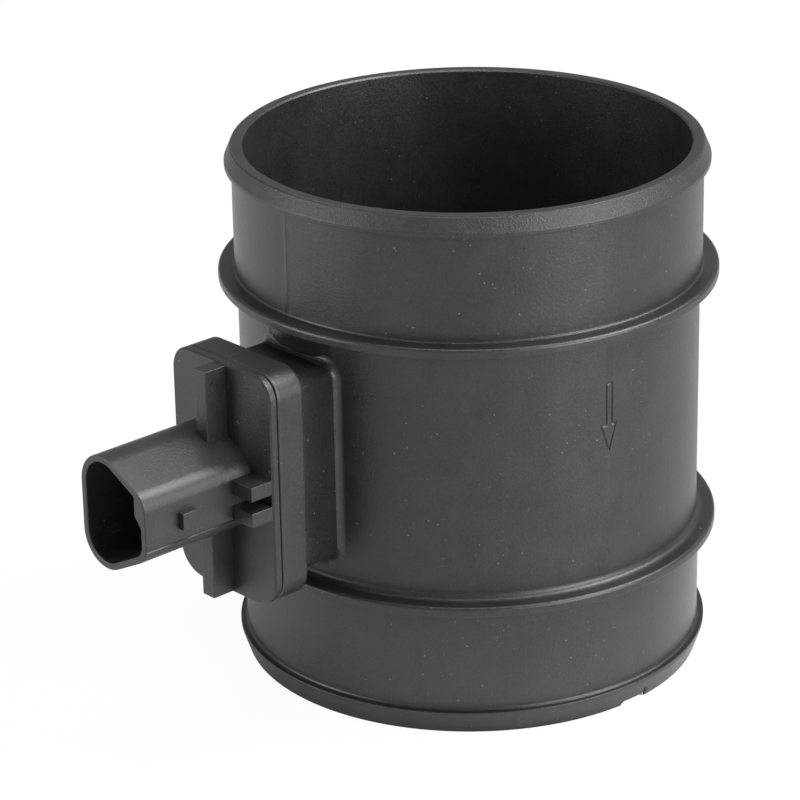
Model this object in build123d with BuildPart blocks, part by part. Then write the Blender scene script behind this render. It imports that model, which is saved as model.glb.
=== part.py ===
"""Mass airflow sensor: a plug-in hot-film sensor module in its own cylindrical duct.

Millimetres. +Z runs up the duct's axis, against the air flow, and the module plugs in from -Y.
The origin is on the duct's axis, in the plane of the outlet bead's widest ring.
"""

import os
from math import hypot, radians, tan

from build123d import *

# How far a cut or a joining solid runs past the face that it crosses
overrun = 1.0

# How near a level or a radius has to be for an edge to count as on it
near = 0.01

# Duct
duct_length = 96.9
bore_d = 80.0
bore_lip = 0.3
end_wall = 2.2
spigot_wall = 2.15
body_wall = 1.75
bead_rise = 1.25
bead_land = 0.7
inlet_slope = 2.8
outlet_slope = 3.6
inlet_spigot = 19.3
outlet_spigot = 19.7
collar_rise = 3.4
collar_thick = 1.75
collar_edge_chamfer = 0.4
collar_root_r = 1.2

# Notch in the outlet's edge
notch_width = 5.2
notch_depth = 0.75
notch_corner_r = 0.6
notch_y = -0.8
slit_width = 0.5
slit_depth = 2.0

# Pocket on the duct's side, distances from the duct's axis along -Y
flange_width = 25.8
flange_height = 43.1
flange_z = 45.2
flange_top_r = 4.4
flange_bottom_r = 5.7
rim_back = 51.5
rim_front = 57.1
rim_edge_chamfer = 0.25
neck_inset = 3.3
neck_corner_r = 2.4
neck_root_r = 1.4
neck_root_gap = 0.05
opening_width = 15.6
opening_height = 32.9
opening_corner_r = 2.0

# Module flange
joint_gap = 0.3
sealant_inset = 0.9
plate_thick = 1.4
plate_edge_chamfer = 0.3
rib_width = 3.0
rib_height = 4.5
rib_end_inset = 0.35

# Connector shroud, a rounded trapezoid that narrows towards +X
shroud_x = -1.0
shroud_drop = 0.3
shroud_width = 17.0
shroud_half_height = 9.88
shroud_side_angle = 27.5
shroud_wide_r = 6.0
shroud_narrow_r = 4.0
shroud_wall = 1.25
shroud_length = 23.5
shroud_floor = 3.5
latch_width = 3.2
latch_height = 3.1
latch_rise = 1.3
latch_from_mouth = 7.2
latch_drop = 0.2
key_width = 2.3
key_half_height = 1.7
key_setback = 0.6

# Lugs beside the shroud
lug_thick = 2.6
lug_slot = 2.2
lug_drop = 0.15
lug_end_inset = 0.25

# Plug and vane behind the flange
plug_clearance = 0.3
plug_depth = 17.0
groove_from_plate = 3.2
groove_width = 2.5
groove_depth = 1.2
vane_thick = 10.0
vane_chord = 26.0
vane_raise = 1.0
vane_tip = 6.5
vane_nose_r = 4.9
vane_tail_r = 2.5
skin = 1.2
cover_thick = 1.0
cover_gap = 0.1
cover_nose_inset = 5.2
cover_tail_inset = 3.2

# Bypass channel at the vane's tip
channel_width = 6.5
channel_wall = 1.4

# Electronics
tray_length = 22.0
base_thick = 1.0
board_thick = 0.7
board_gap = 0.5
chip_inset = 0.3
tongue_width = 6.0
tongue_reach = 3.0
tongue_thick = 1.0
chip_length = 4.0
chip_width = 3.0
chip_thick = 0.4
signal_length = 6.0
signal_width = 7.0
signal_thick = 1.3
capacitor_count = 4
capacitor_pitch = 3.6
capacitor_length = 2.0
capacitor_width = 1.2
capacitor_thick = 1.0
chip_spacing = 1.5

# Connector pins
pin_count = 5
pin_pitch = 3.0
pin_width = 1.5
pin_thick = 0.8
pin_reach = 11.0
pin_overlap = 3.0
pin_lift = 0.5

# Air temperature sensor on the vane's other side
thermistor_r = 1.0
thermistor_length = 3.6
thermistor_end_chamfer = 0.5
lead_width = 0.5
lead_span = 12.0
lead_stand_off = 1.45
lead_depth = 0.8
lead_bend_r = 1.0

bore_r = bore_d / 2

# Levels up the duct's axis
outlet_end = -(outlet_slope + bead_land / 2)
inlet_end = outlet_end + duct_length
outlet_bead_back = bead_land / 2
inlet_bead_back = inlet_end - inlet_slope - bead_land
low_collar_bottom = outlet_bead_back + outlet_spigot
low_collar_top = low_collar_bottom + collar_thick
high_collar_top = inlet_bead_back - inlet_spigot
high_collar_bottom = high_collar_top - collar_thick

neck_width = flange_width - 2 * neck_inset
neck_height = flange_height - 2 * neck_inset
neck_bottom = flange_z - neck_height / 2

# The neck's root fillet ends short of the low collar's
root_room = neck_bottom - low_collar_top - collar_root_r
neck_root_fillet = min(neck_root_r, root_room - neck_root_gap)

# Radii from the duct's axis
end_r = bore_r + end_wall
spigot_r = bore_r + spigot_wall
body_r = bore_r + body_wall
bead_r = spigot_r + bead_rise
collar_r = body_r + collar_rise

# Planes across the module, distances from the duct's axis along -Y
plate_back = rim_front + joint_gap
plate_front = plate_back + plate_thick
rib_front = plate_front + rib_height
mouth = plate_front + shroud_length
socket_floor = plate_front + shroud_floor
plug_end = plate_back - plug_depth

# Vane, from the tip outwards
shroud_z = flange_z - shroud_drop
vane_z = flange_z + vane_raise
channel_low = vane_tip + skin
channel_high = channel_low + channel_width
tray_low = channel_high + channel_wall
tray_high = tray_low + tray_length
cover_x = vane_thick / 2 - cover_thick
tray_floor_x = -vane_thick / 2 + skin
base_top_x = tray_floor_x + base_thick
board_top_x = base_top_x + board_thick
tongue_top_x = base_top_x + tongue_thick
board_low = tray_low + tongue_reach + board_gap
pin_x = board_top_x + pin_lift + pin_thick / 2
cover_top = vane_z + vane_chord / 2 - cover_nose_inset
cover_bottom = vane_z - vane_chord / 2 + cover_tail_inset
cover_z = (cover_top + cover_bottom) / 2
cover_height = cover_top - cover_bottom
tray_height = cover_height - 2 * skin


def across(distance):
    """Plane across the module's axis, its normal pointing out of the duct's side."""
    return Plane.XZ.offset(distance)


# Duct housing: tube, hose beads, collars, neck and rim in one moulding
with BuildPart() as duct_housing:
    with BuildSketch(Plane.XZ) as duct_profile:
        with BuildLine():
            Polyline(
                (0, outlet_end),
                (end_r, outlet_end),
                (bead_r, outlet_end + outlet_slope),
                (bead_r, outlet_bead_back),
                (spigot_r, outlet_bead_back),
                (spigot_r, low_collar_bottom),
                (collar_r, low_collar_bottom),
                (collar_r, low_collar_top),
                (body_r, low_collar_top),
                (body_r, high_collar_bottom),
                (collar_r, high_collar_bottom),
                (collar_r, high_collar_top),
                (spigot_r, high_collar_top),
                (spigot_r, inlet_bead_back),
                (bead_r, inlet_bead_back),
                (bead_r, inlet_end - inlet_slope),
                (end_r, inlet_end),
                (0, inlet_end),
                close=True,
            )
        make_face()
        for level in (low_collar_top, high_collar_top):
            collar_edge = duct_profile.vertices().sort_by_distance((collar_r, level, 0))[0]
            chamfer(collar_edge, collar_edge_chamfer)
        collar_root = duct_profile.vertices().sort_by_distance((body_r, low_collar_top, 0))[0]
        fillet(collar_root, collar_root_r)
    revolve(axis=Axis.Z)

    with BuildSketch(across(bore_r - neck_root_r)) as neck_section:
        with Locations((0, flange_z)):
            Rectangle(neck_width, neck_height)
        fillet(neck_section.vertices(), neck_corner_r)
    extrude(amount=rim_back - bore_r + neck_root_r)

    def on_neck_root(edge):
        middle = edge.position_at(0.5)
        return (
            abs(hypot(middle.X, middle.Y) - body_r) < near
            and abs(middle.X) < neck_width / 2 + near
            and middle.Y < 0
            and abs(middle.Z - flange_z) < neck_height / 2 + near
        )

    fillet(duct_housing.edges().filter_by(on_neck_root), neck_root_fillet)

    with BuildSketch(across(rim_back)) as rim_section:
        with Locations((0, flange_z)):
            Rectangle(flange_width, flange_height)
        fillet(rim_section.vertices().group_by(Axis.Y)[-1], flange_top_r)
        fillet(rim_section.vertices().group_by(Axis.Y)[0], flange_bottom_r)
    extrude(amount=rim_front - rim_back)
    chamfer(duct_housing.faces().sort_by(Axis.Y)[0].edges(), rim_edge_chamfer)

    with BuildSketch(Plane.XY.offset(outlet_end)):
        Circle(bore_r)
    extrude(amount=duct_length, mode=Mode.SUBTRACT)
    bore_ends = duct_housing.edges().filter_by(GeomType.CIRCLE).filter_by(
        lambda edge: abs(edge.radius - bore_r) < near
        and min(abs(edge.center().Z - inlet_end), abs(edge.center().Z - outlet_end)) < near
    )
    chamfer(bore_ends, bore_lip)

    slit_y = notch_y + (notch_width + slit_width) / 2
    with BuildSketch(Plane.YZ) as notch_section:
        with Locations((notch_y, outlet_end)):
            Rectangle(notch_width, 2 * notch_depth)
        fillet(notch_section.vertices().group_by(Axis.Y)[-1], notch_corner_r)
        with Locations((slit_y, outlet_end)):
            Rectangle(slit_width, 2 * slit_depth)
    extrude(amount=bead_r + overrun, mode=Mode.SUBTRACT)

    with BuildSketch(across(0)) as opening_section:
        with Locations((0, flange_z)):
            RectangleRounded(opening_width, opening_height, opening_corner_r)
    extrude(amount=rim_front, mode=Mode.SUBTRACT)
duct_housing.part.label = "duct_housing"


# Terminals: blades from the socket, through the plug, to just over the board's edge
pin_nodes = []
pin_inner_end = tray_high - pin_overlap
pin_outer_end = socket_floor + pin_reach
for index in range(pin_count):
    pin_z = shroud_z + (index - (pin_count - 1) / 2) * pin_pitch
    with BuildPart() as connector_pin:
        with BuildSketch(across(pin_inner_end)):
            with Locations((pin_x, pin_z)):
                Rectangle(pin_thick, pin_width)
        extrude(amount=pin_outer_end - pin_inner_end)
        tip_edges = connector_pin.faces().sort_by(Axis.Y)[0].edges()
        chamfer(tip_edges, pin_thick / 4)
    connector_pin.part.label = f"connector_pin_{index + 1}"
    pin_nodes.append(connector_pin.part)


# Air temperature sensor: a bead between two bent leads that stand off the vane's side
lead_x = -vane_thick / 2 - lead_stand_off
lead_middle = (tray_low + tray_high) / 2
with BuildPart() as air_thermistor:
    with BuildSketch(across(lead_middle - thermistor_length / 2)):
        with Locations((lead_x, vane_z)):
            Circle(thermistor_r)
    extrude(amount=thermistor_length)
    chamfer(air_thermistor.edges().filter_by(GeomType.CIRCLE), thermistor_end_chamfer)
air_thermistor.part.label = "air_thermistor"

lead_nodes = []
for index, side in enumerate((1, -1)):
    bead_end = lead_middle + side * thermistor_length / 2
    bend = lead_middle + side * lead_span / 2
    with BuildPart() as thermistor_lead:
        with BuildLine() as lead_route:
            FilletPolyline(
                (lead_x, -bead_end, vane_z),
                (lead_x, -bend, vane_z),
                (-vane_thick / 2 + lead_depth, -bend, vane_z),
                radius=lead_bend_r,
            )
        with BuildSketch(Plane(origin=lead_route.line @ 0, z_dir=lead_route.line % 0)):
            Rectangle(lead_width, lead_width)
        sweep()
    thermistor_lead.part.label = f"thermistor_lead_{index + 1}"
    lead_nodes.append(thermistor_lead.part)


# Sensor carrier: flange plate, rib, shroud, lugs, plug and vane in one moulding
with BuildPart() as sensor_carrier:
    with BuildSketch(across(plate_back)) as plate_section:
        with Locations((0, flange_z)):
            Rectangle(flange_width, flange_height)
        fillet(plate_section.vertices().group_by(Axis.Y)[-1], flange_top_r)
        fillet(plate_section.vertices().group_by(Axis.Y)[0], flange_bottom_r)
    extrude(amount=plate_thick)
    chamfer(sensor_carrier.faces().sort_by(Axis.Y)[0].edges(), plate_edge_chamfer)

    with BuildSketch(across(plate_back)):
        with Locations((0, flange_z)):
            Rectangle(rib_width, flange_height - 2 * rib_end_inset)
    extrude(amount=rib_front - plate_back)

    shroud_left = shroud_x - shroud_width / 2
    shroud_right = shroud_x + shroud_width / 2
    fall = tan(radians(shroud_side_angle)) * shroud_width / 2
    with BuildSketch(across(plate_back)) as shroud_section:
        with BuildLine():
            Polyline(
                (shroud_left, shroud_z - shroud_half_height - fall),
                (shroud_right, shroud_z - shroud_half_height + fall),
                (shroud_right, shroud_z + shroud_half_height - fall),
                (shroud_left, shroud_z + shroud_half_height + fall),
                close=True,
            )
        make_face()
        fillet(shroud_section.vertices().group_by(Axis.X)[0], shroud_wide_r)
        fillet(shroud_section.vertices().group_by(Axis.X)[-1], shroud_narrow_r)
    extrude(amount=mouth - plate_back)

    latch_z = shroud_z - latch_drop
    with BuildSketch(Plane.YZ.offset(shroud_right)):
        with Locations((-(mouth - latch_from_mouth - latch_width / 2), latch_z)):
            Rectangle(latch_width, latch_height)
    extrude(amount=latch_rise)

    lug_length = flange_width / 2 - lug_end_inset - shroud_right
    lug_x = shroud_right + lug_length / 2
    for side in (1, -1):
        lug_z = shroud_z - lug_drop + side * (lug_slot + lug_thick) / 2
        with BuildSketch(across(plate_back)):
            with Locations((lug_x - overrun / 2, lug_z)):
                Rectangle(lug_length + overrun, lug_thick)
        extrude(amount=rib_front - plate_back)

    with BuildSketch(across(socket_floor)) as socket_section:
        add(offset(shroud_section.sketch_local, -shroud_wall, mode=Mode.PRIVATE))
    extrude(amount=mouth - socket_floor, mode=Mode.SUBTRACT)

    # Key in the socket's narrow upper corner, its lower edge sloped
    key_x = shroud_right - shroud_wall - key_width
    key_top = shroud_z + shroud_half_height
    with BuildSketch(across(socket_floor)):
        with BuildLine():
            Polyline(
                (key_x, shroud_z + key_half_height),
                (shroud_right, shroud_z - key_half_height - shroud_wall),
                (shroud_right, key_top),
                (key_x, key_top),
                close=True,
            )
        make_face()
        add(socket_section.sketch_local, mode=Mode.INTERSECT)
    extrude(amount=mouth - key_setback - socket_floor)

    plug_width = opening_width - 2 * plug_clearance
    plug_height = opening_height - 2 * plug_clearance
    plug_corner_r = opening_corner_r - plug_clearance
    with BuildSketch(across(plug_end)):
        with Locations((0, flange_z)):
            RectangleRounded(plug_width, plug_height, plug_corner_r)
    extrude(amount=plug_depth)

    groove_low = plate_back - groove_from_plate - groove_width
    groove_inner_width = plug_width - 2 * groove_depth
    groove_inner_height = plug_height - 2 * groove_depth
    groove_inner_r = plug_corner_r - groove_depth
    with BuildSketch(across(groove_low)):
        with Locations((0, flange_z)):
            RectangleRounded(opening_width, opening_height, opening_corner_r)
            RectangleRounded(groove_inner_width, groove_inner_height, groove_inner_r, mode=Mode.SUBTRACT)
    extrude(amount=groove_width, mode=Mode.SUBTRACT)

    with BuildSketch(across(vane_tip)) as vane_section:
        with Locations((0, vane_z)):
            Rectangle(vane_thick, vane_chord)
        fillet(vane_section.vertices().group_by(Axis.Y)[-1], vane_nose_r)
        fillet(vane_section.vertices().group_by(Axis.Y)[0], vane_tail_r)
    extrude(amount=plug_end - vane_tip)

    # Rebate for both covers, open to +X
    with BuildSketch(Plane.YZ.offset(cover_x)):
        with Locations((-(vane_tip + tray_high + skin) / 2, cover_z)):
            Rectangle(tray_high + skin - vane_tip, cover_height)
    extrude(amount=cover_thick, mode=Mode.SUBTRACT)

    # Electronics tray
    with BuildSketch(Plane.YZ.offset(tray_floor_x)):
        with Locations((-(tray_low + tray_high) / 2, cover_z)):
            Rectangle(tray_length, tray_height)
    extrude(amount=cover_x - tray_floor_x, mode=Mode.SUBTRACT)

    # Bypass channel, through the vane from its nose to its tail
    with BuildSketch(Plane.YZ.offset(tray_floor_x)):
        with Locations((-(channel_low + channel_high) / 2, vane_z)):
            Rectangle(channel_width, vane_chord + 2 * overrun)
    extrude(amount=cover_x - tray_floor_x, mode=Mode.SUBTRACT)

    # Slot in the wall between tray and channel, for the tongue
    with BuildSketch(Plane.YZ.offset(base_top_x)):
        with Locations((-(channel_high + tray_low) / 2, cover_z)):
            Rectangle(channel_wall + overrun, tongue_width)
    extrude(amount=tongue_thick, mode=Mode.SUBTRACT)

    for pin in pin_nodes:
        add(pin, mode=Mode.SUBTRACT)
    for lead in lead_nodes:
        add(lead, mode=Mode.SUBTRACT)
sensor_carrier.part.label = "sensor_carrier"


# Sealant in the joint between the plate and the rim
with BuildPart() as bond_bead:
    with BuildSketch(across(rim_front)) as sealant_section:
        with Locations((0, flange_z)):
            Rectangle(flange_width - 2 * sealant_inset, flange_height - 2 * sealant_inset)
        fillet(sealant_section.vertices().group_by(Axis.Y)[-1], flange_top_r - sealant_inset)
        fillet(sealant_section.vertices().group_by(Axis.Y)[0], flange_bottom_r - sealant_inset)
        with Locations((0, flange_z)):
            RectangleRounded(opening_width, opening_height, opening_corner_r, mode=Mode.SUBTRACT)
    extrude(amount=joint_gap)
bond_bead.part.label = "bond_bead"


# Rubber ring in the plug's groove, out to the wall of the housing's opening
with BuildPart() as seal_ring:
    with BuildSketch(across(groove_low)):
        with Locations((0, flange_z)):
            RectangleRounded(opening_width, opening_height, opening_corner_r)
            RectangleRounded(groove_inner_width, groove_inner_height, groove_inner_r, mode=Mode.SUBTRACT)
    extrude(amount=groove_width)
seal_ring.part.label = "seal_ring"


def plate_on(x, low, high, z, height, thick, name):
    """A flat rectangular piece that lies across X, from low to high along the vane."""
    with BuildPart() as piece:
        with BuildSketch(Plane.YZ.offset(x)):
            with Locations((-(low + high) / 2, z)):
                Rectangle(high - low, height)
        extrude(amount=thick)
    piece.part.label = name
    return piece.part


tray_top = tray_high + skin - cover_gap
tray_edge = channel_high + channel_wall / 2
board_height = tray_height - 2 * board_gap
board_high = tray_high - board_gap
chip_low = channel_low + (channel_width - chip_length) / 2
signal_low = board_low + chip_spacing
capacitor_low = signal_low + signal_length + chip_spacing

electronics_cover = plate_on(
    cover_x, tray_edge + cover_gap, tray_top, cover_z, cover_height - 2 * cover_gap, cover_thick,
    "electronics_cover",
)
bypass_cover = plate_on(
    cover_x, vane_tip, tray_edge, cover_z, cover_height - 2 * cover_gap, cover_thick, "bypass_cover"
)
base_plate = plate_on(
    tray_floor_x, tray_low + cover_gap, tray_high - cover_gap, cover_z, tray_height - 2 * cover_gap,
    base_thick, "base_plate",
)
circuit_board = plate_on(
    base_top_x, board_low, board_high, cover_z, board_height, board_thick, "circuit_board"
)
chip_carrier = plate_on(
    base_top_x, chip_low, tray_low + tongue_reach, cover_z, tongue_width, tongue_thick, "chip_carrier"
)
hot_film_chip = plate_on(
    tongue_top_x, chip_low + chip_inset, chip_low + chip_inset + chip_length, cover_z, chip_width, chip_thick,
    "hot_film_chip",
)
signal_chip = plate_on(
    board_top_x, signal_low, signal_low + signal_length, cover_z, signal_width, signal_thick,
    "signal_chip",
)
capacitor_nodes = []
for index in range(capacitor_count):
    capacitor_z = cover_z + (index - (capacitor_count - 1) / 2) * capacitor_pitch
    capacitor_nodes.append(
        plate_on(
            board_top_x, capacitor_low, capacitor_low + capacitor_width, capacitor_z, capacitor_length,
            capacitor_thick, f"capacitor_{index + 1}",
        )
    )

os.makedirs("parts", exist_ok=True)
nodes = [
    duct_housing.part,
    sensor_carrier.part,
    bond_bead.part,
    seal_ring.part,
    electronics_cover,
    bypass_cover,
    base_plate,
    circuit_board,
    chip_carrier,
    hot_film_chip,
    signal_chip,
    air_thermistor.part,
    *pin_nodes,
    *lead_nodes,
    *capacitor_nodes,
]
for node in nodes:
    export_step(node, f"parts/{node.label}.step")
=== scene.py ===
"""Mass airflow sensor: a black moulded duct with a plug-in sensor module, standing on its outlet end."""

from math import cos, pi, radians, sin

import bmesh
import bpy
import numpy as np
from mathutils import Matrix, Vector


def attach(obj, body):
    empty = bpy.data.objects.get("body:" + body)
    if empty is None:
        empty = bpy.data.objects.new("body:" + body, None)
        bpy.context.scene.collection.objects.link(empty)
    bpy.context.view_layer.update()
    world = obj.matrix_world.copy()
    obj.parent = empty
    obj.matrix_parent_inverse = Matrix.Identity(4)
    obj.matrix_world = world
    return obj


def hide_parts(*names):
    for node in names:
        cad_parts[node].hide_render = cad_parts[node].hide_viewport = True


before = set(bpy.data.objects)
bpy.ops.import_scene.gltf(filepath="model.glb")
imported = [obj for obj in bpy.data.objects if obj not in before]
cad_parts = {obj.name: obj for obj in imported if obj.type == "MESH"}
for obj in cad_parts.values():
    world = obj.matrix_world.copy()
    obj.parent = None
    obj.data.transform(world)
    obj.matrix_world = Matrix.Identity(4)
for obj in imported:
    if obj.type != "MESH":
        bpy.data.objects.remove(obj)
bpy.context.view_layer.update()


# Camera
# The photograph looks down a little at the corner between the connector's end and its narrow side, from a
# little over half a metre away.
MM = 0.001
view_azimuth = radians(47.563)
view_fall = radians(22.68)
view_roll = -0.0187
eye = np.array([418.2, -399.7, 284.15]) * MM
forward = np.array([-sin(view_azimuth) * cos(view_fall), cos(view_azimuth) * cos(view_fall), -sin(view_fall)])
level_right = np.array([cos(view_azimuth), sin(view_azimuth), 0.0])
level_up = np.cross(level_right, forward)
right = cos(view_roll) * level_right + sin(view_roll) * level_up
up = -sin(view_roll) * level_right + cos(view_roll) * level_up
lens = bpy.data.cameras.new("camera")
lens.lens = 153.68
lens.sensor_width = 36.0
camera = bpy.data.objects.new("camera", lens)
camera.matrix_world = Matrix(np.column_stack((right, up, -forward)).tolist()).to_4x4()
camera.location = Vector(eye)
bpy.context.collection.objects.link(camera)
bpy.context.scene.camera = camera


# Duct shell
# The duct is one injection moulding in black glass-filled plastic: a straight round tube with a hose bead at
# each end, two collars that stop the hoses, a moulded flow arrow and a notch in the outlet's edge.
outlet_end = -3.95
inlet_end = 92.95
bore_r = 40.0
body_r = 41.75
spigot_r = 42.15
bead_r = 43.4
collar_r = 45.15
outlet_bead_low, outlet_bead_high = -0.35, 0.35
low_collar_bottom, low_collar_top = 20.05, 21.8
high_collar_bottom, high_collar_top = 68.4, 70.15
inlet_bead_low, inlet_bead_high = 89.45, 90.15
lead_in = 0.3
lead_in_r = 40.3
outlet_edge_r = 42.2


def rounded(corners, steps=5, ease=0.12):
    """Closed outline through corners (x, y, radius). Each corner becomes an arc that touches both of its runs:
    the centre is on the corner's bisector, at the radius over the sine of half the corner's angle, and the arc's
    points turn evenly from one touching point to the other. One more point eases each run next to its arcs."""
    table = np.array(corners, float)
    point, radius = table[:, :2], table[:, 2:]
    back = np.roll(point, 1, axis=0) - point
    ahead = np.roll(point, -1, axis=0) - point
    back_length = np.linalg.norm(back, axis=1, keepdims=True)
    ahead_length = np.linalg.norm(ahead, axis=1, keepdims=True)
    back, ahead = back / back_length, ahead / ahead_length
    half = np.arccos(np.clip((back * ahead).sum(1, keepdims=True), -1, 1)) / 2
    touch = radius / np.tan(half)
    centre = point + (back + ahead) / np.linalg.norm(back + ahead, axis=1, keepdims=True) * radius / np.sin(half)
    start = (point + back * touch - centre) / radius
    end = (point + ahead * touch - centre) / radius
    turn = np.pi - 2 * half
    share = np.linspace(0, 1, steps + 1)[None, :, None]
    angle = turn[:, None, :]
    arc = (np.sin((1 - share) * angle) * start[:, None, :] + np.sin(share * angle) * end[:, None, :]) / np.sin(angle)
    arc = centre[:, None, :] + radius[:, None, :] * arc
    free = ahead_length - touch - np.roll(touch, -1, axis=0)
    ease_ahead = np.minimum(ease, free / 3)
    ease_back = np.roll(ease_ahead, 1, axis=0)
    before = point + back * (touch + ease_back)
    after = point + ahead * (touch + ease_ahead)
    return np.concatenate((before[:, None, :], arc, after[:, None, :]), axis=1).reshape(-1, 2)


def more_rows(path, start, end, low, high, count):
    """The path with count points more on the straight run from corner start to corner end, even from the share
    low of its length to the share high."""
    start, end = np.array(start, float), np.array(end, float)
    run = end - start
    share = ((path - start) @ run) / (run @ run)
    on_run = np.linalg.norm(path - start - share[:, None] * run, axis=1) < 1e-6
    before = np.flatnonzero(on_run & (share < low))
    place = before[np.argmax(share[before])] + 1
    return np.insert(path, place, start + run * np.linspace(low, high, count)[:, None], axis=0)


def grid_faces(rows, columns, closed_rows):
    """Quads of a grid whose columns close round: each joins a point, the next in its row, and both in the next
    row. The last row joins the first where closed_rows is true."""
    index = np.arange(rows * columns).reshape(rows, columns)
    beside = np.roll(index, -1, axis=1)
    quads = np.stack((index, beside, np.roll(beside, -1, axis=0), np.roll(index, -1, axis=0)), axis=-1)
    if not closed_rows:
        quads = quads[:-1]
    return quads.reshape(-1, 4)


def piece(name, points, faces, smooth=True):
    """A mesh object from points in millimetres and a list of faces, riding on the one body of this part."""
    mesh = bpy.data.meshes.new(name)
    mesh.from_pydata((np.asarray(points) * MM).tolist(), [], [list(face) for face in faces])
    mesh.polygons.foreach_set("use_smooth", np.full(len(mesh.polygons), smooth))
    mesh.update()
    thing = bpy.data.objects.new(name, mesh)
    bpy.context.collection.objects.link(thing)
    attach(thing, "root")
    return thing


profile = rounded(
    (
        (lead_in_r, outlet_end, 0.08),
        (outlet_edge_r, outlet_end, 0.12),
        (bead_r, outlet_bead_low, 0.12),
        (bead_r, outlet_bead_high, 0.12),
        (spigot_r, outlet_bead_high, 0.5),
        (spigot_r, low_collar_bottom, 0.3),
        (collar_r, low_collar_bottom, 0.15),
        (collar_r, low_collar_top, 0.6),
        (body_r, low_collar_top, 1.2),
        (body_r, high_collar_bottom, 0.3),
        (collar_r, high_collar_bottom, 0.15),
        (collar_r, high_collar_top, 0.6),
        (spigot_r, high_collar_top, 0.4),
        (spigot_r, inlet_bead_low, 0.3),
        (bead_r, inlet_bead_low, 0.1),
        (bead_r, inlet_bead_high, 0.12),
        (42.3, 92.72, 0.05),
        (42.14, 92.78, 0.05),
        (42.05, inlet_end, 0.06),
        (lead_in_r, inlet_end, 0.08),
        (bore_r, inlet_end - lead_in, 0.1),
        (bore_r, outlet_end + lead_in, 0.1),
    )
)
arrow_low, arrow_high = 46.3, 59.6
arrow_rows, notch_rows, slit_rows = 72, 12, 8
body_run = high_collar_bottom - low_collar_top
profile = more_rows(
    profile,
    (body_r, low_collar_top),
    (body_r, high_collar_bottom),
    (arrow_low - low_collar_top) / body_run,
    (arrow_high - low_collar_top) / body_run,
    arrow_rows,
)
profile = more_rows(profile, (outlet_edge_r, outlet_end), (bead_r, outlet_bead_low), 0.07, 0.62, notch_rows)
profile = more_rows(profile, (bore_r, inlet_end - lead_in), (bore_r, outlet_end + lead_in), 0.98, 0.997, slit_rows)

arrow_sides = (-11.2, -5.9)
arrow_columns = 48
groove_half_width, groove_depth = 0.19, 0.28
seam_angle, seam_proud = -91.6, 0.08
seam_half_width_squared = 0.03
notch_low, notch_high = -3.4, 1.8
notch_depth, notch_corner_r = 0.75, 0.6
slit_middle, slit_width, slit_depth = 2.05, 0.5, 2.0
notch_columns = np.array([-3.45, -3.4, -3.2, -3.0, -2.8, 1.2, 1.4, 1.6, 1.75, 1.8, 1.84])
slit_columns = np.array([1.88, 2.22, 2.26, 2.3])
columns_r = 42.0
column_step, closest_columns = 1.5, 0.08
fine = np.concatenate(
    (
        np.linspace(*arrow_sides, arrow_columns),
        seam_angle + np.array([-0.24, -0.1, 0, 0.1, 0.24]),
        np.degrees(np.arcsin(notch_columns / columns_r)),
        np.degrees(np.arcsin(slit_columns / columns_r)),
    )
)
coarse = np.arange(-180, 180, column_step)
coarse = coarse[np.abs(coarse[:, None] - fine[None, :]).min(1) > closest_columns]
angle = np.radians(np.sort(np.concatenate((coarse, fine))))

arrow = np.array(
    [(-9.21, 59.27), (-9.21, 51.6), (-10.72, 51.6), (-8.4, 46.65), (-6.42, 51.6), (-7.59, 51.6), (-7.59, 59.27)]
)
arrow[:, 0] = np.radians(arrow[:, 0]) * body_r


def distance_to(outline, x, z):
    """Distance from each point to the nearest side of a closed outline: on each side, the point's foot is where
    its projection falls, kept between the side's two ends."""
    nearest = np.full(x.shape, np.inf)
    for start, end in zip(outline, np.roll(outline, -1, axis=0)):
        side = end - start
        share = np.clip(((x - start[0]) * side[0] + (z - start[1]) * side[1]) / (side @ side), 0, 1)
        nearest = np.minimum(nearest, np.hypot(x - start[0] - share * side[0], z - start[1] - share * side[1]))
    return nearest


def duct_points():
    """Grid of the shell: each row is a profile point, turned about Z through all the angles. The radius drops by
    a parabola across the arrow's outline and rises by one across the seam, and the level never falls below the
    notch's floor."""
    r = np.repeat(profile[:, :1], len(angle), axis=1)
    z = np.repeat(profile[:, 1:], len(angle), axis=1)
    turn = np.repeat(angle[None, :], len(profile), axis=0)
    on_body = (np.abs(r - body_r) < 1e-6) & (z > arrow_low - 0.01) & (z < arrow_high + 0.01)
    groove = np.clip(1 - (distance_to(arrow, turn * body_r, z) / groove_half_width) ** 2, 0, 1)
    r = r - np.where(on_body, groove_depth * groove, 0)
    on_spigot = (np.abs(r - spigot_r) < 1e-6) & (z > high_collar_top)
    ridge = np.clip(1 - (np.degrees(turn) - seam_angle) ** 2 / seam_half_width_squared, 0, 1)
    r = r + np.where(on_spigot, seam_proud * ridge, 0)
    y = r * np.sin(turn)
    facing = np.cos(turn) > 0
    corner = notch_corner_r
    from_end = np.clip(np.minimum(y - notch_low, notch_high - y), 0, None)
    arc = np.sqrt(np.clip(corner**2 - np.clip(corner - from_end, 0, None) ** 2, 0, None))
    depth = notch_depth - corner + arc
    floor = np.where((from_end > 0) & facing, outlet_end + depth, outlet_end)
    in_slit = (np.abs(y - slit_middle) < slit_width / 2) & facing
    floor = np.where(in_slit, outlet_end + slit_depth, floor)
    near_end = z < outlet_end + slit_depth + 0.1
    z = np.where(near_end & (r > bore_r - 0.01), np.maximum(z, floor), z)
    return np.stack((r * np.cos(turn), r * np.sin(turn), z), axis=-1)


duct_shell = piece(
    "duct_shell",
    duct_points().reshape(-1, 3),
    grid_faces(len(profile), len(angle), True),
)
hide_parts("duct_housing")


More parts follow.
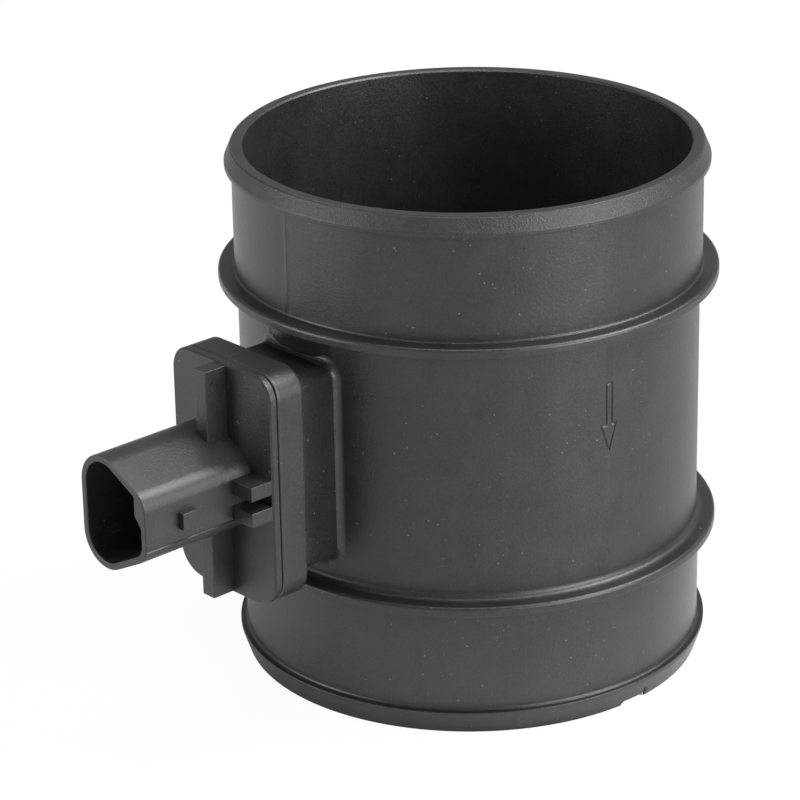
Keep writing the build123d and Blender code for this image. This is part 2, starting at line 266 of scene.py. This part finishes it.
class Link:
    """An output of a material's node. The operators add Math nodes, so that a formula reads as it is worked out."""

    def __init__(self, material, socket):
        self.material = material
        self.socket = socket

    def maths(self, operation, *values):
        return self.material.node("ShaderNodeMath", {"operation": operation}, dict(enumerate(values)))

    def __add__(self, other):
        return self.maths("ADD", self, other)

    __radd__ = __add__

    def __mul__(self, other):
        return self.maths("MULTIPLY", self, other)

    __rmul__ = __mul__

    def between(self, low, high):
        """0 below low and 1 above high, smooth between them."""
        return self.material.node(
            "ShaderNodeMapRange",
            {"interpolation_type": "SMOOTHSTEP"},
            {"Value": self, "From Min": low, "From Max": high},
        )


class Material:
    """A procedural material: one Principled shader, whose constants are set on its own sockets."""

    def __init__(self, name, **constants):
        self.data = bpy.data.materials.new(name)
        self.data.use_nodes = True
        self.tree = self.data.node_tree
        self.shader = self.tree.nodes["Principled BSDF"]
        for socket, value in constants.items():
            self.shader.inputs[socket.replace("_", " ")].default_value = value
        self.place = self.node("ShaderNodeTexCoord", {}, {}, "Object")

    def node(self, kind, settings, values, output=0):
        """Adds a node: its settings first, then the value or link of each socket. Gives one of its outputs."""
        made = self.tree.nodes.new(kind)
        for key, value in settings.items():
            setattr(made, key, value)
        for key, value in values.items():
            self.feed(made.inputs[key], value)
        return Link(self, made.outputs[output])

    def feed(self, socket, value):
        if isinstance(value, Link):
            self.tree.links.new(value.socket, socket)
        else:
            socket.default_value = value

    def drive(self, socket, value):
        """A value that varies over the surface goes to one of the shader's sockets."""
        self.feed(self.shader.inputs[socket], value)

    def noise(self, size, detail=2.0, roughness=0.5, squash=(1, 1, 1)):
        """Noise from 0 to 1 whose features are about size millimetres across."""
        place = self.node(
            "ShaderNodeVectorMath",
            {"operation": "MULTIPLY"},
            {0: self.place, 1: [factor / (size * MM) for factor in squash]},
        )
        return self.node(
            "ShaderNodeTexNoise", {}, {"Vector": place, "Scale": 1.0, "Detail": detail, "Roughness": roughness}
        )

    def blend(self, factor, low, high):
        """One colour where factor is 0 and the other where it is 1."""
        mixed = self.tree.nodes.new("ShaderNodeMix")
        mixed.data_type = "RGBA"
        self.feed(mixed.inputs["Factor"], factor)
        for key, value in (("A", low), ("B", high)):
            socket = next(s for s in mixed.inputs if s.name == key and s.type == "RGBA")
            self.feed(socket, value if isinstance(value, Link) else (*value, 1.0))
        return Link(self, next(s for s in mixed.outputs if s.type == "RGBA"))

    def bump(self, height, distance):
        """Height from 0 to 1 becomes a relief of distance millimetres."""
        normal = self.node("ShaderNodeBump", {}, {"Height": height, "Distance": distance * MM, "Strength": 1.0})
        self.drive("Normal", normal)


def moulded_black(name, dark, light, tone, coarse=None):
    """Matte glass-filled plastic: a fine leathery grain, soft mottling and sparse pale specks of dust. Where coarse
    is given, a rougher grain comes in outside its radius from the duct's axis and above its level, in metres."""
    plastic = Material(name)
    grain = plastic.noise(0.42, 3.0, 0.6)
    mottle = plastic.noise(7.0, 3.0, 0.55)
    speck = plastic.noise(0.5, 1.0, 0.5).between(0.765, 0.79)
    shade = grain.between(0.3, 0.72) * 0.65 + mottle.between(0.35, 0.7) * 0.35
    base = plastic.blend(shade, dark, light)
    plastic.drive("Base Color", plastic.blend(speck * 0.4, base, (0.3, 0.3, 0.29)))
    roughness, relief = tone + grain * 0.16 + mottle * 0.08, grain * 0.8 + plastic.noise(0.16, 1.0) * 0.2
    if coarse:
        radius, level = coarse
        flat = plastic.node("ShaderNodeVectorMath", {"operation": "MULTIPLY"}, {0: plastic.place, 1: (1, 1, 0)})
        from_axis = plastic.node("ShaderNodeVectorMath", {"operation": "LENGTH"}, {0: flat}, "Value")
        height = plastic.node("ShaderNodeSeparateXYZ", {}, {"Vector": plastic.place}, "Z")
        eroded = from_axis.between(radius, radius + 0.0001) * height.between(level, level + 0.0003)
        roughness, relief = roughness + eroded * 0.1, relief * (1 + eroded * 1.4)
    plastic.drive("Roughness", roughness)
    plastic.bump(relief, 0.06)
    return plastic


plastic_dark, plastic_light = (0.009, 0.009, 0.0093), (0.02, 0.02, 0.0206)
plastic_tone = 0.27
coarse_end = (0.0421, 0.0901)
duct_plastic = moulded_black("duct_plastic", plastic_dark, plastic_light, plastic_tone, coarse=coarse_end)
duct_shell.data.materials.append(duct_plastic.data)


# Pocket for the module
# A deep rectangular neck with a thicker rim grows out of the duct's side in the same moulding. Its opening
# goes through the duct's wall, and a rolling fillet joins it to the tube.
pocket_z = 45.2
rim_width, rim_height = 25.8, 43.1
rim_bottom_r, rim_top_r = 5.7, 4.4
neck_inset, neck_corner = 3.3, 2.4
opening_width, opening_height, opening_corner = 15.6, 32.9, 2.0
rim_back, rim_front = 51.5, 57.1
root_r = 1.4


def frame_outline(width, height, bottom_r, top_r, grow=0.0):
    """Rounded rectangle across the module, grown outwards by a margin: both sides and radii grow with it."""
    x, half = width / 2 + grow, height / 2 + grow
    return rounded(
        (
            (-x, pocket_z - half, bottom_r + grow),
            (x, pocket_z - half, bottom_r + grow),
            (x, pocket_z + half, top_r + grow),
            (-x, pocket_z + half, top_r + grow),
        ),
        steps=12,
        ease=0.4,
    )


def rim(grow=0.0):
    return frame_outline(rim_width, rim_height, rim_bottom_r, rim_top_r, grow)


def neck(grow=0.0):
    width, height = rim_width - 2 * neck_inset, rim_height - 2 * neck_inset
    return frame_outline(width, height, neck_corner, neck_corner, grow)


def opening(grow=0.0):
    return frame_outline(opening_width, opening_height, opening_corner, opening_corner, grow)


def carried(stations):
    """Points of outlines carried out of the duct's side: an outline's (x, z) at a distance along -Y, which is one
    number or one for each of its points."""
    return np.concatenate(
        [
            np.column_stack((outline[:, 0], -np.broadcast_to(distance, len(outline)), outline[:, 1]))
            for outline, distance in stations
        ]
    )


def turned_edge(outline, front, radius, steps=4):
    """Stations round an outer edge: as the edge turns through a quarter circle, the outline draws in by the
    radius times one less its cosine, and comes forward by the radius times its sine."""
    turn = np.linspace(0, pi / 2, steps + 1)
    return [(outline(-radius * (1 - cos(t))), front - radius * (1 - sin(t))) for t in turn]


def on_tube(outline, radius):
    """Distance from the axis plane at which each of an outline's points meets a tube of that radius."""
    return np.sqrt(radius**2 - outline[:, 0] ** 2)


in_wall = 40.9
pocket_stations = [
    (neck(), on_tube(neck(), in_wall)),
    (neck(), rim_back - 0.5),
    (neck(), rim_back - 0.15),
    (neck(0.04), rim_back - 0.04),
    (neck(0.15), rim_back),
    (neck(0.5), rim_back),
    (rim(-0.5), rim_back),
    (rim(-0.12), rim_back),
    (rim(-0.03), rim_back + 0.03),
    (rim(), rim_back + 0.12),
    (rim(), rim_back + 0.5),
    (rim(), rim_front - 0.8),
    *turned_edge(rim, rim_front, 0.3),
    (rim(-0.6), rim_front),
    (opening(0.3), rim_front),
    (opening(), rim_front - 0.3),
    (opening(), on_tube(opening(), in_wall)),
]
pocket = piece(
    "pocket",
    carried(pocket_stations),
    grid_faces(len(pocket_stations), len(neck()), True),
)
pocket.data.materials.append(duct_plastic.data)
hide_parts("duct_housing")


def root_points(steps=8):
    """The fillet of a ball that rolls in the corner between the neck's wall and the tube. Its centre is one radius
    off the wall and one radius off the tube, and the surface turns from the touching point on the wall to that on
    the tube. Two more rows inside the plastic close the band."""
    wall, ball = neck(), neck(root_r)
    out = np.sqrt((body_r + root_r) ** 2 - ball[:, 0] ** 2)
    centre = np.column_stack((ball[:, 0], -out, ball[:, 1]))
    on_wall = np.column_stack((wall[:, 0], -out, wall[:, 1]))
    radial = np.column_stack((ball[:, 0], -out, np.zeros(len(ball)))) / (body_r + root_r)
    touch_tube = centre - radial * root_r
    start, end = (on_wall - centre) / root_r, -radial
    between = np.arccos(np.clip((start * end).sum(1), -1, 1))[:, None]
    share = np.linspace(0, 1, steps + 1)
    arc = [
        centre + root_r * (np.sin((1 - s) * between) * start + np.sin(s * between) * end) / np.sin(between)
        for s in share
    ]
    inner = neck(-0.6)
    rows = [*arc, touch_tube - radial * 0.5, np.column_stack((inner[:, 0], on_wall[:, 1], inner[:, 1]))]
    return np.concatenate(rows[::-1])


neck_root = piece("neck_root", root_points(), grid_faces(11, len(neck()), True))
neck_root.data.set_sharp_from_angle(angle=radians(60))
neck_root.data.materials.append(duct_plastic.data)
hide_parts("duct_housing")


def flash_line(name, start, end, outward, proud):
    """A fine three-sided ridge, as a mould leaves where its halves meet: its crest runs from start to end, proud of
    the face, and its foot is 0.24 mm wide and sunk 0.1 mm."""
    start, end, outward = (np.array(value, float) for value in (start, end, outward))
    along = (end - start) / np.linalg.norm(end - start)
    side = np.cross(along, outward)
    half_foot, sunk = 0.12, 0.1
    section = np.array([outward * proud, -half_foot * side - sunk * outward, half_foot * side - sunk * outward])
    faces = [(0, 1, 4, 3), (1, 2, 5, 4), (2, 0, 3, 5), (2, 1, 0), (3, 4, 5)]
    return piece(name, np.concatenate((start + section, end + section)), faces, smooth=False)


flash_x, flash_proud = -0.6, 0.05
rim_top = pocket_z + rim_height / 2
neck_top = rim_top - neck_inset
flash_runs = (
    ("rim_flash", rim_back + 0.3, rim_front - 0.3, rim_top),
    ("neck_flash", 44.0, rim_back, neck_top),
)
for name, low, high, level in flash_runs:
    line = flash_line(name, (flash_x, -low, level), (flash_x, -high, level), (0, 0, 1), flash_proud)
    line.data.materials.append(duct_plastic.data)
    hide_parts("duct_housing")

cut_margin, cut_from, cut_to = 0.05, 34.0, body_r + 1
cutter = piece(
    "cutter",
    carried([(opening(cut_margin), cut_from), (opening(cut_margin), cut_to)]),
    [
        *grid_faces(2, len(opening()), False).tolist(),
        range(len(opening()))[::-1],
        range(len(opening()), 2 * len(opening())),
    ],
)
cut = duct_shell.modifiers.new("opening", "BOOLEAN")
cut.operation = "DIFFERENCE"
cut.object = cutter
cut.solver = "EXACT"
shown = bpy.context.evaluated_depsgraph_get()
finished = bpy.data.meshes.new_from_object(duct_shell.evaluated_get(shown))
duct_shell.modifiers.clear()
duct_shell.data = finished
bpy.data.objects.remove(cutter)


# Sensor carrier
# The module's own moulding, in the same black plastic: flange plate, centre rib, connector shroud with its latch
# pad and lugs, plug and vane. Its outer edges are turned, as a mould leaves them.
def merged_copy(name, node):
    """Copy of a CAD node with its doubles merged and the triangles of each flat face joined."""
    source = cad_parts[node].data
    corners = np.empty(len(source.vertices) * 3)
    source.vertices.foreach_get("co", corners)
    triangles = np.empty(len(source.loops), int)
    source.loops.foreach_get("vertex_index", triangles)
    mesh = bpy.data.meshes.new(name)
    mesh.from_pydata(corners.reshape(-1, 3).tolist(), [], triangles.reshape(-1, 3).tolist())
    shape = bmesh.new()
    shape.from_mesh(mesh)
    bmesh.ops.remove_doubles(shape, verts=shape.verts, dist=1e-6)
    bmesh.ops.dissolve_limit(shape, angle_limit=radians(0.5), verts=shape.verts, edges=shape.edges)
    return mesh, shape


carrier_mesh, carrier_shape = merged_copy("sensor_carrier_shell", "sensor_carrier")
plate_front, mouth = 58.8 * MM, 82.3 * MM
mouth_r, block_r = 0.22 * MM, 0.12 * MM
long_edge = 1.0 * MM
near = 0.01 * MM


def turn_edges(shape, chosen, radius):
    """Rounds the sharp outward edges that chosen accepts, by an arc in three steps."""
    edges = [
        edge
        for edge in shape.edges
        if len(edge.link_faces) == 2 and edge.is_convex and edge.calc_face_angle(0) > radians(30) and chosen(edge)
    ]
    bmesh.ops.bevel(
        shape, geom=edges, offset=radius, segments=3, profile=0.5, affect="EDGES", clamp_overlap=False
    )


def on_mouth(edge):
    return all(vertex.co.y < near - mouth for vertex in edge.verts)


def on_block(edge):
    foremost = min(vertex.co.y for vertex in edge.verts)
    return near - mouth < foremost < -plate_front - near and edge.calc_length() > long_edge


def by_place(element):
    """One number from the place of a point or face in whole microns, which sorts by x, then y, then z: each step
    along one axis outweighs the part's whole length along the next."""
    place = element.co if isinstance(element, bmesh.types.BMVert) else element.calc_center_median()
    microns, outweighs = 1e6, 200_000
    x, y, z = (round(value * microns) for value in place)
    return (x * outweighs + y) * outweighs + z


turn_edges(carrier_shape, on_block, block_r)
turn_edges(carrier_shape, on_mouth, mouth_r)
# The bevel leaves points and faces in an order that changes from run to run
carrier_shape.verts.sort(key=by_place)
carrier_shape.faces.sort(key=by_place)
carrier_shape.to_mesh(carrier_mesh)
carrier_shape.free()
carrier_mesh.polygons.foreach_set("use_smooth", np.full(len(carrier_mesh.polygons), True))
carrier_mesh.set_sharp_from_angle(angle=radians(35))
carrier = bpy.data.objects.new("sensor_carrier_shell", carrier_mesh)
bpy.context.collection.objects.link(carrier)
weighted = carrier.modifiers.new("normals", "WEIGHTED_NORMAL")
weighted.keep_sharp = True
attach(carrier, "root")
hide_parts("sensor_carrier")
module_plastic = moulded_black("module_plastic", plastic_dark, plastic_light, plastic_tone)
carrier_mesh.materials.append(module_plastic.data)

shroud_side, ridge_z = 7.5, 40.85
ridge_back, ridge_front, ridge_proud = 59.0, 82.1, 0.07
shroud_flash = flash_line(
    "shroud_flash",
    (shroud_side, -ridge_back, ridge_z),
    (shroud_side, -ridge_front, ridge_z),
    (1, 0, 0),
    ridge_proud,
)
shroud_flash.data.materials.append(module_plastic.data)
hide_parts("sensor_carrier")


def dress(material, *names):
    """CAD nodes keep their shape and get this material."""
    for name in names:
        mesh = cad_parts[name].data
        mesh.materials.clear()
        mesh.materials.append(material.data)


# Covers on the vane
# Two thin moulded covers, glued flush into the vane's rebate: one over the electronics, one over the bypass.
dress(module_plastic, "electronics_cover", "bypass_cover")


# Sealant and sealing ring
# A bead of cured black sealant fills the joint behind the plate, and a rubber ring sits in the plug's groove.
sealant = Material("cured_sealant", Roughness=0.5)
sealant.drive("Base Color", sealant.blend(sealant.noise(1.2), (0.012, 0.012, 0.012), (0.022, 0.022, 0.022)))
sealant.bump(sealant.noise(0.8, 2.0), 0.05)
dress(sealant, "bond_bead")

rubber = Material("seal_rubber", Roughness=0.62)
rubber.drive("Base Color", rubber.blend(rubber.noise(2.0), (0.016, 0.016, 0.017), (0.026, 0.026, 0.027)))
rubber.bump(rubber.noise(0.25, 2.0), 0.01)
dress(rubber, "seal_ring")


# Base plate
# Rolled aluminium sheet under the board, its rolling lines along the vane.
sheet = Material("rolled_sheet", Metallic=1.0)
lines = sheet.noise(0.12, 2.0, 0.5, squash=(1, 0.05, 1))
sheet.drive("Base Color", sheet.blend(lines, (0.66, 0.66, 0.68), (0.76, 0.76, 0.78)))
sheet.drive("Roughness", 0.28 + lines * 0.16)
sheet.bump(lines, 0.004)
dress(sheet, "base_plate")


# Board, chip carrier and chip
# Fired white ceramic carries the printed circuit and, on its tongue in the bypass, the silicon hot-film chip.
ceramic = Material("fired_ceramic", Roughness=0.42)
ceramic.drive("Base Color", ceramic.blend(ceramic.noise(0.6, 3.0), (0.78, 0.78, 0.74), (0.86, 0.86, 0.82)))
ceramic.bump(ceramic.noise(0.12, 2.0), 0.004)
dress(ceramic, "circuit_board", "chip_carrier")

silicon = Material("polished_silicon", Metallic=0.6)
silicon.drive("Base Color", silicon.blend(silicon.noise(1.5), (0.16, 0.18, 0.22), (0.24, 0.26, 0.31)))
silicon.drive("Roughness", 0.12 + silicon.noise(0.4) * 0.06)
dress(silicon, "hot_film_chip")


# Parts on the board
# A moulded black package and four fired ceramic capacitors.
package = Material("package_black", Roughness=0.55)
package.drive("Base Color", package.blend(package.noise(0.2, 3.0), (0.024, 0.024, 0.025), (0.04, 0.04, 0.041)))
package.bump(package.noise(0.15, 2.0), 0.01)
dress(package, "signal_chip")

fired = Material("capacitor_tan", Roughness=0.4)
fired.drive("Base Color", fired.blend(fired.noise(0.3, 3.0), (0.46, 0.34, 0.22), (0.58, 0.45, 0.31)))
fired.bump(fired.noise(0.2, 2.0), 0.006)
dress(fired, *(f"capacitor_{number}" for number in range(1, 5)))


# Air temperature sensor
# A dark glass bead between two bright drawn wires that stand off the vane's left side.
glass = Material("bead_glass", Roughness=0.12)
glass.drive("Base Color", glass.blend(glass.noise(0.8), (0.05, 0.03, 0.02), (0.1, 0.07, 0.045)))
dress(glass, "air_thermistor")

wire = Material("drawn_wire", Metallic=1.0)
drawn = wire.noise(0.1, 2.0)
wire.drive("Base Color", wire.blend(drawn, (0.62, 0.62, 0.62), (0.74, 0.74, 0.73)))
wire.drive("Roughness", 0.22 + drawn * 0.14)
dress(wire, "thermistor_lead_1", "thermistor_lead_2")


# Connector blades
# Five tin-plated brass blades, stamped, with the plating a little dull and mottled.
tin = Material("tin_plate", Metallic=1.0)
dull = tin.noise(0.5, 3.0)
tin.drive("Base Color", tin.blend(dull, (0.66, 0.65, 0.61), (0.78, 0.77, 0.73)))
tin.drive("Roughness", 0.26 + dull * 0.16)
tin.bump(dull, 0.004)
dress(tin, *(f"connector_pin_{number}" for number in range(1, 6)))


# Floor and light
# A white sweep that glows for the camera and in reflections, with soft boxes left and right of the camera, overhead
# and behind on the right, and a little light all round. Its glow in reflections fades out towards the duct's axis: a
# painted shadow under and beside the duct.
floor_half = 20.0
floor_mesh = bpy.data.meshes.new("floor")
floor_z = outlet_end * MM
floor_corners = ((-1, -1), (1, -1), (1, 1), (-1, 1))
floor_mesh.from_pydata([(x * floor_half, y * floor_half, floor_z) for x, y in floor_corners], [], [(0, 1, 2, 3)])
floor = bpy.data.objects.new("floor", floor_mesh)
bpy.context.collection.objects.link(floor)
paper = Material("paper", Roughness=0.9, Base_Color=(0.8, 0.8, 0.8, 1.0))
path = paper.tree.nodes.new("ShaderNodeLightPath")
# Painted shadow: the glow that glossy and transmission rays see on the floor fades from 100 mm off the duct's axis
# to none inside 46 mm
shaded_r, lit_r = 0.046, 0.1
from_axis = paper.node("ShaderNodeVectorMath", {"operation": "LENGTH"}, {0: paper.place}, "Value")
mirrored = Link(paper, path.outputs["Is Glossy Ray"]) + Link(paper, path.outputs["Is Transmission Ray"])
seen = Link(paper, path.outputs["Is Camera Ray"]) + mirrored * from_axis.between(shaded_r, lit_r)
glow = paper.tree.nodes.new("ShaderNodeEmission")
mixed = paper.tree.nodes.new("ShaderNodeMixShader")
paper.feed(mixed.inputs["Fac"], seen.between(0.0, 1.0) * 0.95)
paper.tree.links.new(paper.shader.outputs[0], mixed.inputs[1])
paper.tree.links.new(glow.outputs[0], mixed.inputs[2])
paper.tree.links.new(mixed.outputs[0], paper.tree.nodes["Material Output"].inputs["Surface"])
floor_mesh.materials.append(paper.data)

sky_strength = 0.36
world = bpy.data.worlds.new("studio")
world.use_nodes = True
bpy.context.scene.world = world
sky = world.node_tree.nodes["Background"]
sky.inputs["Color"].default_value = (1, 1, 1, 1)
sky.inputs["Strength"].default_value = sky_strength


duct_middle = Vector((0, 0, 0.045))
lamp_distance = 0.8


def soft_box(name, azimuth, elevation, width, height, power):
    """Area lamp that faces the middle of the duct from an azimuth about Z and an elevation."""
    lamp = bpy.data.lights.new(name, "AREA")
    lamp.shape = "RECTANGLE"
    lamp.size = width
    lamp.size_y = height
    lamp.energy = power
    thing = bpy.data.objects.new(name, lamp)
    a, e = radians(azimuth), radians(elevation)
    direction = Vector((cos(a) * cos(e), sin(a) * cos(e), sin(e)))
    thing.location = duct_middle + direction * lamp_distance
    thing.rotation_euler = direction.to_track_quat("Z", "Y").to_euler()
    bpy.context.collection.objects.link(thing)


soft_box("left_box", -118, 10, 0.3, 0.6, 4.8)
soft_box("right_box", 8, 10, 0.5, 0.6, 9.2)
soft_box("top_box", -45, 88, 0.3, 0.3, 3.0)
soft_box("corner_box", 52, 53, 0.4, 0.4, 8.0)

bpy.context.scene.view_settings.view_transform = "Standard"
